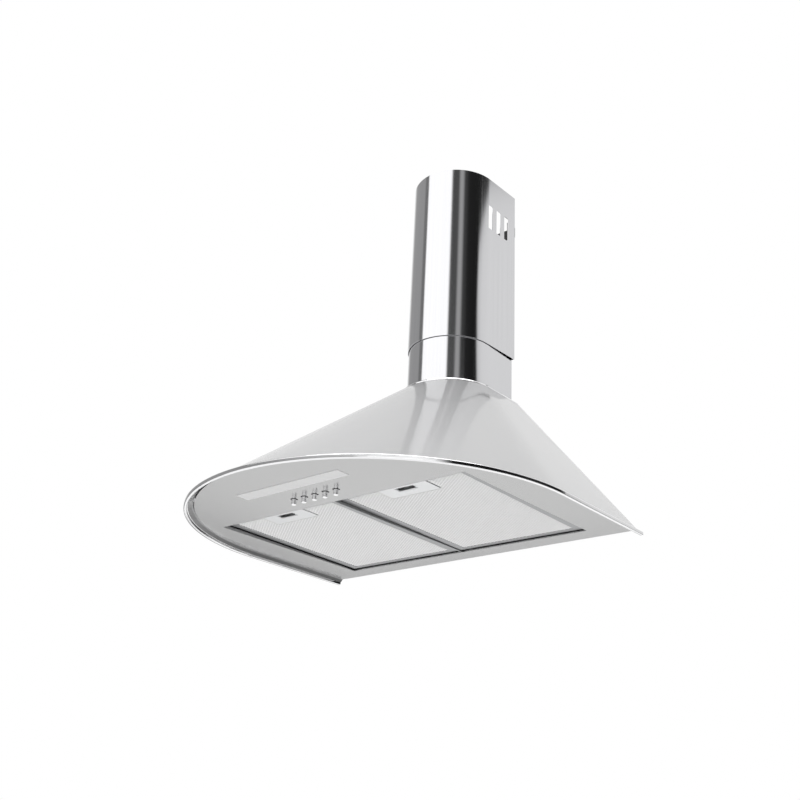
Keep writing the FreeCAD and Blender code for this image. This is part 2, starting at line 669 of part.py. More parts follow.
def impeller():
    """Double-inlet wheel: a middle disc on a hub, two rings and forward-curved blades."""
    axis = V(0, WHEEL_Y, WHEEL_H)
    pieces = [rod(WHEEL_R, axis + RIGHT * -1, axis + RIGHT), rod(10, axis + RIGHT * -14, axis + RIGHT * 14)]
    for side in (-1, 1):
        pieces.append(tube(WHEEL_R, WHEEL_R - 6, axis + RIGHT * (side * (WHEEL_HALF - 2)),
                           axis + RIGHT * (side * WHEEL_HALF)))
        for i in range(BLADE_COUNT):
            blade = block((side * 0.5, side * (WHEEL_HALF - 1)), (-0.5, 0.5), (WHEEL_R - 11, WHEEL_R - 0.8))
            blade.rotate(V(0, 0, WHEEL_R - 6), RIGHT, -28)
            blade.rotate(V(0, 0, 0), RIGHT, 360.0 * i / BLADE_COUNT)
            blade.translate(axis)
            pieces.append(blade)
    wheel = fuse(pieces)
    rim = tube(WHEEL_R + 10, WHEEL_R, axis + RIGHT * -WHEEL_HALF, axis + RIGHT * WHEEL_HALF)
    return wheel.cut(rim).cut(rod(SHAFT_R, axis + RIGHT * -20, axis + RIGHT * 20))


def motor_housing():
    """Motor can with a bearing seat in each end."""
    axis = V(0, WHEEL_Y, WHEEL_H)
    low, high = MOTOR_X
    can = rod(MOTOR_R, axis + RIGHT * low, axis + RIGHT * high)
    room = rod(MOTOR_R - 1.5, axis + RIGHT * (low + 7), axis + RIGHT * (high - 7))
    bores = rod(9, axis + RIGHT * (low - 1), axis + RIGHT * (high + 1))
    return can.cut(room).cut(bores)


def motor_bearings():
    """Sleeve bearings in the motor's two ends."""
    axis = V(0, WHEEL_Y, WHEEL_H)
    low, high = MOTOR_X
    return group([tube(9, SHAFT_R + SHAFT_GAP, axis + RIGHT * start, axis + RIGHT * (start + 7))
                  for start in (low, high - 7)])


def motor_stator():
    """Wound iron ring fixed in the motor can."""
    axis = V(0, WHEEL_Y, WHEEL_H)
    low, high = MOTOR_X
    return tube(MOTOR_R - 1.5, 24.5, axis + RIGHT * (low + 10), axis + RIGHT * (high - 10))


def motor_rotor():
    """Rotor pressed on the shaft."""
    axis = V(0, WHEEL_Y, WHEEL_H)
    low, high = MOTOR_X
    return tube(24, SHAFT_R, axis + RIGHT * (low + 11), axis + RIGHT * (high - 11))


def motor_shaft():
    """Steel shaft from the far bearing to the impeller's hub."""
    axis = V(0, WHEEL_Y, WHEEL_H)
    return rod(SHAFT_R, axis + RIGHT * -16, axis + RIGHT * (MOTOR_X[1] - 0.5))


def spoke_angles():
    """Directions of the motor bracket's three arms."""
    return (30.0, 150.0, 270.0)


def motor_bracket():
    """Ring round the motor with three arms; each arm stands on a rubber grommet."""
    axis = V(0, WHEEL_Y, WHEEL_H)
    ring = tube(MOTOR_R + 2, MOTOR_R, axis + RIGHT * 58, axis + RIGHT * 70)
    pieces = [ring]
    for angle in spoke_angles():
        arm = block((58, 60), (-7, 7), (MOTOR_R + 1, 70))
        arm.rotate(V(0, 0, 0), RIGHT, angle)
        arm.translate(axis)
        pieces.append(arm)
    return fuse(pieces)


def motor_grommets():
    """Rubber feet between the motor bracket and the blower housing."""
    feet = []
    for angle in spoke_angles():
        turn = math.radians(angle)
        y = WHEEL_Y - 63.0 * math.sin(turn)
        h = WHEEL_H + 63.0 * math.cos(turn)
        feet.append(rod(6.0, V(SCROLL_HALF, y, h), V(58, y, h)))
    return group(feet)


# ---- outlet ---------------------------------------------------------------------------------
def outlet_adapter():
    """Square to round adapter on the collar: neck, screw flange, taper and round spigot."""
    seat = SKIN_TOP_H + COLLAR_PLATE
    middle = V(0, CHIMNEY_ARC_Y, 0)

    def taper(inset):
        half_x, half_y = 49.6 - inset, 45.6 - inset
        corners = [V(half_x, half_y, 0), V(-half_x, half_y, 0), V(-half_x, -half_y, 0), V(half_x, -half_y, 0)]
        lines = [Part.makeLine(a, b) for a, b in zip(corners, corners[1:] + corners[:1])]
        arcs = []
        for i, turn in enumerate((45, 135, 225, 315)):
            points = [math.radians(turn + 90.0 * share) for share in (0.0, 0.5, 1.0)]
            radius = SPIGOT_R - inset
            arcs.append(Part.Arc(*[V(radius * math.cos(t), radius * math.sin(t), 16.0) for t in points]).toShape())
        skin = Part.makeLoft([Part.Wire(lines), Part.Wire(arcs)], True, True)
        skin.translate(middle + UP * (seat + 2.0))
        return skin

    neck = block((-49.6, 49.6), (OUTLET_Y[0] - 1.6, OUTLET_Y[1] + 1.6), (238, seat + 2.0))
    flange = u_prism(68, CHIMNEY_ARC_Y, -22.0, seat, seat + 2.0)
    spigot = rod(SPIGOT_R, middle + UP * (seat + 18.0), middle + UP * SPIGOT_TOP_H)
    body = fuse([neck, flange, taper(0.0), spigot])
    air = [block((-48.1, 48.1), (OUTLET_Y[0] - 0.1, OUTLET_Y[1] + 0.1), (230, seat + 2.0)), taper(SPIGOT_WALL),
           rod(SPIGOT_R - SPIGOT_WALL, middle + UP * (seat + 18.0), middle + UP * (SPIGOT_TOP_H + 1))]
    for piece in air:
        body = body.cut(piece)
    ledge = tube(SPIGOT_R - 0.5, SPIGOT_R - SPIGOT_WALL - 3.0, middle + UP * (FLAP_H - 5.5), middle + UP * (FLAP_H - 3.0))
    pin = rod(FLAP_PIN_R, V(-70, CHIMNEY_ARC_Y, FLAP_H), V(70, CHIMNEY_ARC_Y, FLAP_H))
    holes = [rod(1.8, V(x, y, seat - 5), V(x, y, seat + 5)) for x, y in screw_places()]
    return fuse([body, ledge]).cut(group([pin] + holes))


def screw_places():
    """Where the adapter is screwed to the collar."""
    return ((-62.0, -34.0), (62.0, -34.0), (-22.0, -130.0), (22.0, -130.0))


def adapter_screws():
    """Four pan-head screws through the adapter's flange into the collar."""
    top = SKIN_TOP_H + COLLAR_PLATE + 2.0
    screws = []
    for x, y in screw_places():
        shank = rod(1.7, V(x, y, top - 2.0), V(x, y, top + 1))
        head = rod(3.4, V(x, y, top), V(x, y, top + 2.2))
        rim = [edge for edge in head.Edges if abs(edge.CenterOfMass.z - top - 2.2) < 0.01]
        screws.append(fuse([shank, head.makeFillet(0.9, rim)]))
    return group(screws)


def damper_pin():
    """Wire across the spigot that both back-draught flaps hang on."""
    reach = SPIGOT_R - 0.1
    return rod(FLAP_PIN_R, V(-reach, CHIMNEY_ARC_Y, FLAP_H), V(reach, CHIMNEY_ARC_Y, FLAP_H))


def damper_flap(side):
    """Half-round flap with two knuckles on the pin; side -1 is the front one, 1 the rear one."""
    axis = V(0, CHIMNEY_ARC_Y, FLAP_H)
    low = FLAP_H - 2.7
    disc = rod(FLAP_R, V(0, CHIMNEY_ARC_Y, low), V(0, CHIMNEY_ARC_Y, low + FLAP_SHEET))
    keep = block((-60, 60), (CHIMNEY_ARC_Y + side * 0.4, CHIMNEY_ARC_Y + side * 60), (low - 1, low + 3))
    plate = disc.common(keep)
    own, other = [], []
    for start in (-48.0, -16.0, 16.0):
        ends = (start + 0.3, start + KNUCKLE)
        own.append([-side * end for end in ends])
        other.append([side * end for end in ends])
    knuckles = [rod(3.0, axis + RIGHT * a, axis + RIGHT * b) for a, b in own]
    gaps = [block((min(a, b) - 0.8, max(a, b) + 0.8), (CHIMNEY_ARC_Y - 4, CHIMNEY_ARC_Y + 4), (low - 1, low + 8))
            for a, b in other]
    flap = fuse([plate.cut(group(gaps))] + knuckles)
    return flap.cut(rod(FLAP_PIN_R + 0.06, axis + RIGHT * -70, axis + RIGHT * 70))


# ---- electrics ------------------------------------------------------------------------------
def terminal_box():
    """Plastic box on the back plate where the leads are joined."""
    outer = block(BOX_X, BOX_Y, BOX_H)
    upright = [edge for edge in outer.Edges if abs(edge.tangentAt(edge.FirstParameter).y) > 0.9]
    outer = outer.makeFillet(3.0, upright)
    inner = block((BOX_X[0] + 2, BOX_X[1] - 2), (BOX_Y[0] - 1, BOX_Y[1] - 2), (BOX_H[0] + 2, BOX_H[1] - 2))
    return outer.cut(inner)


def terminal_lid():
    """Lid that closes the terminal box from the front."""
    lid = block((BOX_X[0] + 2, BOX_X[1] - 2), (BOX_Y[0], BOX_Y[0] + 2), (BOX_H[0] + 2, BOX_H[1] - 2))
    knob = rod(3.5, V(148, BOX_Y[0] - 1.5, 71), V(148, BOX_Y[0] + 1, 71))
    return fuse([lid, knob])


def cable_gland():
    """Gland in the collar for a supply lead: a flange, a nut below and a bore between."""
    top = SKIN_TOP_H + COLLAR_PLATE
    barrel = rod(6.0, V(GLAND_X, GLAND_Y, SKIN_TOP_H - 9), V(GLAND_X, GLAND_Y, top + 6))
    flange = rod(8.0, V(GLAND_X, GLAND_Y, top), V(GLAND_X, GLAND_Y, top + 3))
    nut = rod(7.5, V(GLAND_X, GLAND_Y, SKIN_TOP_H - 6), V(GLAND_X, GLAND_Y, SKIN_TOP_H))
    bore = rod(3.6, V(GLAND_X, GLAND_Y, SKIN_TOP_H - 12), V(GLAND_X, GLAND_Y, top + 10))
    return fuse([barrel, flange, nut]).cut(bore)


def capacitor():
    """Run capacitor of the motor, with its strap, on the back plate."""
    body = rod(15, V(-196, -18, 80), V(-132, -18, 80))
    ends = [edge for edge in body.Edges if edge.BoundBox.XLength < 0.01]
    body = body.makeFillet(2.0, ends)
    return body


def capacitor_clip():
    """Sheet strap that holds the capacitor against the back plate."""
    strap = tube(16.2, 15.0, V(-172, -18, 80), V(-156, -18, 80))
    foot = block((-172, -156), (-2.0, -1.0), (58, 102))
    return fuse([strap.cut(block((-180, -150), (-2.0, 10), (50, 110))), foot])


def motor_cable():
    """Lead from the terminal box to the motor."""
    return cable(3.0, [V(148, -18, BOX_H[1]), V(148, -20, 116), V(149, -36, 132), V(148, -66, 138),
                       V(142, -98, 137), V(133, -120, 144), V(119, -128.5, 148),
                       V(MOTOR_X[1], WHEEL_Y, WHEEL_H + 20)])


def lamp_cable():
    """Lead from the power supply to the lamp tray."""
    return cable(1.6, [V(DRIVER_X[1], -362, 10), V(-98, -362, 10.5), V(-88, -368, 12), V(-84, -380, 12.5),
                       V(-84, LAMP_TRAY_Y[1], 13)])


def switch_cable():
    """Lead from the switch round the filter opening to the terminal box."""
    return cable(3.0, [V(50, KEY_ROW_Y, SWITCH_TOP_H), V(50.2, KEY_ROW_Y + 0.2, 34), V(60, -370.5, 46),
                       V(84, -369, 54), V(124, -367, 50), V(162, -362, 40), V(195, -350, 31),
                       V(228, -326, 23), V(247, -284, 13), V(251, -230, 8), V(252, -176, 8.5),
                       V(250, -122, 8), V(247, -72, 11), V(238, -38, 26), V(222, -19, 48),
                       V(204, -15, 64), V(BOX_X[1], -15.5, 71)])


# ---- all nodes ------------------------------------------------------------------------------
def main():
    os.makedirs("parts", exist_ok=True)
    save("canopy_shell", canopy_shell())
    save("rim_bead", rim_bead())
    save("top_collar", top_collar())
    save("back_plate", back_plate())
    save("underside_panel", underside_panel())
    save("panel_clips", panel_clips())
    save("filter_divider", filter_divider())
    save("lamp_lens", lamp_lens())
    save("lamp_housing", lamp_housing())
    save("led_board", led_board())
    save("led_driver", led_driver())
    save("switch_base", switch_base())
    save("switch_cover", switch_cover())
    for number, x in enumerate(key_xs(), 1):
        save("button_%d" % number, push_button(x))
        save("button_spring_%d" % number, button_spring(x))
    for name, side in LEFT_RIGHT:
        save("filter_frame_" + name, placed_filter_piece(filter_frame(), side))
        save("filter_mesh_" + name, placed_filter_piece(filter_mesh(), side))
        save("latch_plate_" + name, placed_filter_piece(latch_plate(), side))
        save("filter_latch_" + name, placed_filter_piece(filter_latch(), side))
        save("latch_spring_" + name, placed_filter_piece(latch_spring(), side))
        save("blower_housing_" + name, blower_half(side))
    save("chimney_lower", chimney_lower())
    save("chimney_upper", chimney_upper())
    save("chimney_bracket", chimney_bracket())
    save("chimney_guides", chimney_guides())
    save("impeller", impeller())
    save("motor_housing", motor_housing())
    save("motor_bearings", motor_bearings())
    save("motor_stator", motor_stator())
    save("motor_rotor", motor_rotor())
    save("motor_shaft", motor_shaft())
    save("motor_bracket", motor_bracket())
    save("motor_grommets", motor_grommets())
    save("outlet_adapter", outlet_adapter())
    save("adapter_screws", adapter_screws())
    save("damper_pin", damper_pin())
    save("damper_flap_front", damper_flap(-1))
    save("damper_flap_rear", damper_flap(1))
    save("terminal_box", terminal_box())
    save("terminal_lid", terminal_lid())
    save("cable_gland", cable_gland())
    save("capacitor", capacitor())
    save("capacitor_clip", capacitor_clip())
    save("motor_cable", motor_cable())
    save("lamp_cable", lamp_cable())
    save("switch_cable", switch_cable())


main()
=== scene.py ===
"""Looks of a wall-mounted chimney range hood with a curved canopy.

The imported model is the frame. New pieces are built with bmesh in the same frame, in metres, with
the wall at y = 0, +Z up and the origin at the centre of the four wall screws.
"""

import json
import logging
import math
from dataclasses import dataclass
from enum import Enum
from typing import ClassVar, Optional, Sequence, Union

import bmesh
import bpy
from mathutils import Matrix, Vector


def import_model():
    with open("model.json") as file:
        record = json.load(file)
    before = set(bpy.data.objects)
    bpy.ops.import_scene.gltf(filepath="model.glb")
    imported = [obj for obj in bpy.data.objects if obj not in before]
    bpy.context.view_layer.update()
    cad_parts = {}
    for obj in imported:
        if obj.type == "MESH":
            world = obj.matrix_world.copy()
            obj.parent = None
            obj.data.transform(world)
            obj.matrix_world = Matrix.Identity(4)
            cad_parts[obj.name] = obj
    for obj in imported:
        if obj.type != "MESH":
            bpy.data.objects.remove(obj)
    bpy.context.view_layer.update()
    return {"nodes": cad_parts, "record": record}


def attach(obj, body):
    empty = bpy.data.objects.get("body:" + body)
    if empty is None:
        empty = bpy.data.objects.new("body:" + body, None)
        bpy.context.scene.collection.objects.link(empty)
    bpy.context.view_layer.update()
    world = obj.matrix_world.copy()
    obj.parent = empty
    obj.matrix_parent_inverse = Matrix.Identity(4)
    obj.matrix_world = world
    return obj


LOG = logging.getLogger("range_hood")
MM = 0.001
ORIGIN_H = 140.0                # the origin's height above the underside panel, in millimetres
WHOLE_TURN = (-180.0, 180.0)    # angles round the horizon
WHOLE_RISE = (-90.0, 90.0)      # angles above the horizon
NOISE_MIDDLE = (0.35, 0.65)     # where most of a noise's values lie

# Colour sockets of a Mix node, whose names are shared with its other types
MIX_FIRST, MIX_SECOND, MIXED = 6, 7, 2

Node = bpy.types.Node
Tree = bpy.types.NodeTree
Link = tuple[Node, Union[str, int]]          # a node and one of its outputs
Rgba = tuple[float, float, float, float]     # linear red, green, blue and alpha
Levels = list[tuple[float, int]]             # angle and 8-bit level of each stop


def linear(code: str) -> Rgba:
    """Turn an sRGB hex colour into linear RGBA.

    Args:
        code: six hex digits.

    Returns:
        Linear red, green, blue and an alpha of 1.
    """
    parts = [int(code[i:i + 2], 16) / 255.0 for i in (0, 2, 4)]
    red, green, blue = (p / 12.92 if p <= 0.04045 else ((p + 0.055) / 1.055) ** 2.4 for p in parts)
    return red, green, blue, 1.0


def grey(level: int) -> Rgba:
    """Linear RGBA of a neutral grey from its 8-bit level."""
    return linear("%02x%02x%02x" % (level, level, level))


def add_node(tree: Tree, kind: str, settings: Optional[dict] = None,
             values: Optional[dict] = None, links: Optional[dict[object, Link]] = None) -> Node:
    """Add one node with its settings, socket values and incoming links.

    Args:
        tree: the node tree.
        kind: the node's type name.
        settings: attributes of the node.
        values: input sockets, by name or number, and their values.
        links: input sockets and the (node, output) that feeds each.

    Returns:
        The new node.
    """
    node = tree.nodes.new(kind)
    for name, value in (settings or {}).items():
        setattr(node, name, value)
    for name, value in (values or {}).items():
        node.inputs[name].default_value = value
    for name, (source, output) in (links or {}).items():
        tree.links.new(source.outputs[output], node.inputs[name])
    return node


def set_stops(ramp: bpy.types.ColorRamp, stops: Sequence[tuple[float, Rgba]]) -> None:
    """Give a colour ramp its stops.

    Args:
        ramp: the ramp.
        stops: position from 0 to 1 and linear RGBA of each, in rising order.
    """
    while len(ramp.elements) < len(stops):
        ramp.elements.new(0.5)
    for element, (place, _) in zip(ramp.elements, stops):
        element.position = place
    for element, (_, colour) in zip(ramp.elements, stops):
        element.color = colour


class Grain(Enum):
    """Direction that a metal was brushed in, as the scale of its noise along X, Y and Z in 1/m.

    Real ground lines are about 0.1 mm apart, too fine to show here. So the widest are drawn 3.3 mm
    apart upright and 1.1 mm apart across, and an even skin gets soft ripples of 3.8 mm.
    """

    UPRIGHT = (300.0, 300.0, 2.0)
    ACROSS = (6.0, 900.0, 900.0)
    NONE = (260.0, 260.0, 260.0)


@dataclass(frozen=True)
class Finish:
    """A surface finish; its method build makes the material.

    The colour is an sRGB hex code, and every other finish adds its own pattern.
    """

    name: str
    colour: str
    roughness: float = 0.4
    metallic: float = 0.0

    def build(self) -> bpy.types.Material:
        """Make the material with its own pattern.

        Returns:
            The new material.
        """
        material = bpy.data.materials.new(self.name)
        material.use_nodes = True
        tree = material.node_tree
        tree.nodes.clear()
        shader = add_node(tree, "ShaderNodeBsdfPrincipled",
                          values={"Base Color": linear(self.colour), "Roughness": self.roughness,
                                  "Metallic": self.metallic})
        where = add_node(tree, "ShaderNodeTexCoord")
        self.pattern(tree, shader, where)
        add_node(tree, "ShaderNodeOutputMaterial", links={"Surface": (shader, "BSDF")})
        return material

    def pattern(self, tree: Tree, shader: Node, where: Node) -> None:
        """Link the finish's pattern to the shader; a plain finish has none.

        Args:
            tree: the node tree.
            shader: the surface shader.
            where: the texture coordinates.
        """

    def tint(self, tree: Tree, shader: Node, share: Link, other: Rgba) -> None:
        """Mix the finish's colour with another one.

        Args:
            tree: the node tree.
            shader: the surface shader.
            share: how much of the finish's own colour shows, from 0 to 1.
            other: the other colour.
        """
        tone = add_node(tree, "ShaderNodeMix", {"data_type": "RGBA"},
                        {MIX_FIRST: other, MIX_SECOND: linear(self.colour)}, {"Factor": share})
        tree.links.new(tone.outputs[MIXED], shader.inputs["Base Color"])

    def vary(self, tree: Tree, shader: Node, source: Link, spread: float) -> None:
        """Vary the roughness about its middle by a pattern.

        Args:
            tree: the node tree.
            shader: the surface shader.
            source: the pattern's node and output.
            spread: how far it goes either way.
        """
        low, high = self.roughness - spread, self.roughness + spread
        level = add_node(tree, "ShaderNodeMapRange", values={"To Min": low, "To Max": high},
                         links={"Value": source})
        tree.links.new(level.outputs["Result"], shader.inputs["Roughness"])

    def bump(self, tree: Tree, shader: Node, source: Link, depth_mm: float,
             strength: float) -> None:
        """Raise the surface by a pattern.

        Args:
            tree: the node tree.
            shader: the surface shader.
            source: the pattern's node and output.
            depth_mm: height of the relief.
            strength: share of it that is used.
        """
        relief = add_node(tree, "ShaderNodeBump",
                          values={"Strength": strength, "Distance": depth_mm * MM},
                          links={"Height": source})
        tree.links.new(relief.outputs["Normal"], shader.inputs["Normal"])


@dataclass(frozen=True)
class BareMetal(Finish):
    """Bare metal with belt-ground lines along its grain, or an even lapped skin.

    The lines vary the roughness by streak either way, stand up by relief times line_depth
    millimetres, and darken the metal by shade.
    """

    metallic: float = 1.0
    grain: Grain = Grain.UPRIGHT
    streak: float = 0.03
    relief: float = 0.2
    shade: float = 0.0
    line_depth: float = 0.002
    line_detail: float = 4.0
    line_roughness: float = 0.65

    def pattern(self, tree: Tree, shader: Node, where: Node) -> None:
        """Lines along the grain, with each finer layer at half the spacing of the last.

        Args:
            tree: the node tree.
            shader: the surface shader.
            where: the texture coordinates.
        """
        stretch = add_node(tree, "ShaderNodeMapping", values={"Scale": self.grain.value},
                           links={"Vector": (where, "Object")})
        lines = add_node(tree, "ShaderNodeTexNoise",
                         values={"Scale": 1.0, "Detail": self.line_detail,
                                 "Roughness": self.line_roughness},
                         links={"Vector": (stretch, "Vector")})
        self.vary(tree, shader, (lines, "Fac"), self.streak)
        self.bump(tree, shader, (lines, "Fac"), self.line_depth, self.relief)
        if self.shade:
            dull = tuple(part * (1.0 - self.shade) for part in linear(self.colour)[:3]) + (1.0,)
            low, high = NOISE_MIDDLE
            share = add_node(tree, "ShaderNodeMapRange",
                             values={"From Min": low, "From Max": high},
                             links={"Value": (lines, "Fac")})
            self.tint(tree, shader, (share, "Result"), dull)


@dataclass(frozen=True)
class Lacquered(Finish):
    """Powder-coated sheet steel; a matt ground with a crisp, faint reflection on it.

    Low down, just above its bead, it fades to near-black between two heights in metres: painted
    shade where the sheet meets its bead.
    """

    coat: float = 1.0
    coat_roughness: float = 0.08
    # Near-black painted shade, and the heights in metres over which it fades in above the bead
    painted_shade: str = "262627"
    painted_shade_z: tuple[float, float] = (-0.1405, -0.1380)
    peel_scale: float = 400.0
    peel_depth: float = 0.004
    peel_strength: float = 0.1
    cloud_scale: float = 11.0
    cloud_spread: float = 0.03

    def pattern(self, tree: Tree, shader: Node, where: Node) -> None:
        """A faint peel about 2.5 mm across, soft patches in the gloss, and painted shade low down
        above the bead.

        Args:
            tree: the node tree.
            shader: the surface shader.
            where: the texture coordinates.
        """
        # Painted shade: the colour fades to near-black below the given height, where the sheet
        # meets its bead
        parts = add_node(tree, "ShaderNodeSeparateXYZ", links={"Vector": (where, "Object")})
        low, high = self.painted_shade_z
        clear = add_node(tree, "ShaderNodeMapRange", values={"From Min": low, "From Max": high},
                         links={"Value": (parts, "Z")})
        self.tint(tree, shader, (clear, "Result"), linear(self.painted_shade))
        peel = add_node(tree, "ShaderNodeTexNoise", values={"Scale": self.peel_scale},
                        links={"Vector": (where, "Object")})
        cloud = add_node(tree, "ShaderNodeTexNoise", values={"Scale": self.cloud_scale},
                         links={"Vector": (where, "Object")})
        self.vary(tree, shader, (cloud, "Fac"), self.cloud_spread)
        self.bump(tree, shader, (peel, "Fac"), self.peel_depth, self.peel_strength)
        shader.inputs["Coat Weight"].default_value = self.coat
        shader.inputs["Coat Roughness"].default_value = self.coat_roughness


@dataclass(frozen=True)
class Moulding(Finish):
    """Moulded plastic, or another plain skin, with a fine even grain.

    The real grain is about 0.3 mm across; it is drawn at 1 mm, because a finer one wouldn't show.
    """

    grain_scale: float = 950.0
    grain_depth: float = 0.02
    grain_strength: float = 0.25
    grain_spread: float = 0.06

    def pattern(self, tree: Tree, shader: Node, where: Node) -> None:
        """Fine grain in relief and a little in the gloss.

        Args:
            tree: the node tree.
            shader: the surface shader.
            where: the texture coordinates.
        """
        grain = add_node(tree, "ShaderNodeTexNoise", values={"Scale": self.grain_scale},
                         links={"Vector": (where, "Object")})
        self.vary(tree, shader, (grain, "Fac"), self.grain_spread)
        self.bump(tree, shader, (grain, "Fac"), self.grain_depth, self.grain_strength)


FINISHES: dict[str, Finish] = {
    # Powder-coated sheet steel: soft shading round the cone, under a faint crisp reflection
    # Its lacquer also carries painted shade low down, where the sheet meets its bead
    "canopy_paint": Lacquered("satin_canopy", "9F9FA0", 0.45),
    # Polished stainless steel: hard light and dark lines along the bead
    "bright_trim": BareMetal("polished_bead", "ECECED", 0.05,
                             grain=Grain.NONE, streak=0.01, relief=0.0),
    # Satin metallic paint on sheet steel: what lies round it blurs into broad soft patches
    "panel_paint": BareMetal("satin_panel", "B0B0B0", 0.17,
                             grain=Grain.NONE, streak=0.01, relief=0.02),
    # Stainless steel ground upright: reflections drawn into bands, with fine upright lines
    "chimney_steel": BareMetal("bright_brushed_steel", "DADADC", 0.10,
                               streak=0.07, relief=0.3, shade=0.04),
    # Zinc-coated sheet: grey, even and dull
    "zinc_sheet": BareMetal("zinc_plate", "B8B9BA", 0.38, grain=Grain.NONE),
    # Frosted white plastic: even and pale, with no clear highlight
    "lens_plastic": Moulding("frosted_lens", "CCCCCC", 0.35),
    # White ABS: plain and half matt
    "lamp_plastic": Moulding("white_moulding", "D8D8D4", 0.5),
    # White solder resist: plain, to throw the light down
    "board": Moulding("white_solder_resist", "E4E4DC", 0.5),
    # Black ABS: half matt, so that its edges stay soft
    "switch_plastic": Moulding("black_moulding", "1B1B1D", 0.45),
    # Chrome plate on ABS: the room in small, with hard edges
    "chrome_key": BareMetal("chrome_plate", "F2F2F3", 0.04,
                            grain=Grain.NONE, streak=0.01, relief=0.0),
    # Drawn spring wire: a grey gleam along each turn
    "spring_wire": BareMetal("spring_steel", "9A9A9A", 0.3, grain=Grain.NONE),
    # Rolled aluminium: a broad soft gleam, with fine lines across the part
    "filter_frame": BareMetal("satin_aluminium", "DADBDC", 0.3, grain=Grain.ACROSS),
    # Expanded aluminium: edges too small to mirror anything, so it looks pale and matt
    "filter_mesh": Moulding("expanded_aluminium", "DADADA", 0.42),
    # Natural nylon: off-white and waxy
    "nylon": Moulding("natural_nylon", "E0DED4", 0.5),
    # Polypropylene, dark grey for the blower and black for the duct: half matt
    "blower_plastic": Moulding("dark_moulding", "3A3A3D", 0.5),
    "duct_plastic": Moulding("black_duct", "242426", 0.5),
    # Sintered bronze: brown and dull, because of its pores
    "bronze": BareMetal("sintered_bronze", "A07A48", 0.45, grain=Grain.NONE),
    # Varnished iron sheets: dark, with hardly any metal gleam left
    "motor_iron": Moulding("laminated_iron", "4A4A4C", 0.5),
    # Rubber: black, without any gleam
    "rubber": Moulding("soft_rubber", "161616", 0.75),
    # Grey nylon: plain and half matt
    "gland_plastic": Moulding("grey_nylon", "B0B0B0", 0.5),
    # PVC: pale grey, with a soft gleam along the lead
    "cable_sheath": Moulding("light_sheath", "C8C8C4", 0.5),
}

# Nodes that look different from the rest of their slot, both by painted shade: aluminium darkened
# for the shade of its recess, and the bracket behind the vents painted near black for the shade
# inside the chimney
RECESS_PAINTED_SHADE = BareMetal("painted_shade_aluminium", "9A9B9C", 0.3, grain=Grain.ACROSS)
NODE_FINISHES: dict[str, Finish] = {
    # Painted shade: near black, for the shade inside the chimney behind the vents
    "chimney_bracket": Moulding("painted_shade_bracket", "2A2A2B", 0.5),
    # Painted shade: the filter frames and divider take the darkened aluminium
    "filter_divider": RECESS_PAINTED_SHADE,
    "filter_frame_left": RECESS_PAINTED_SHADE,
    "filter_frame_right": RECESS_PAINTED_SHADE,
}

# Painted light: the strands of the lowest sheet are a lighter white than the filter mesh, for the
# light they catch and the sheets behind them don't
PAINTED_LIGHT_STRAND = Moulding("painted_light_strand", "F0F0F0", 0.5)

FLOOR = Finish("pale_floor", "E8E8E8", 0.7)


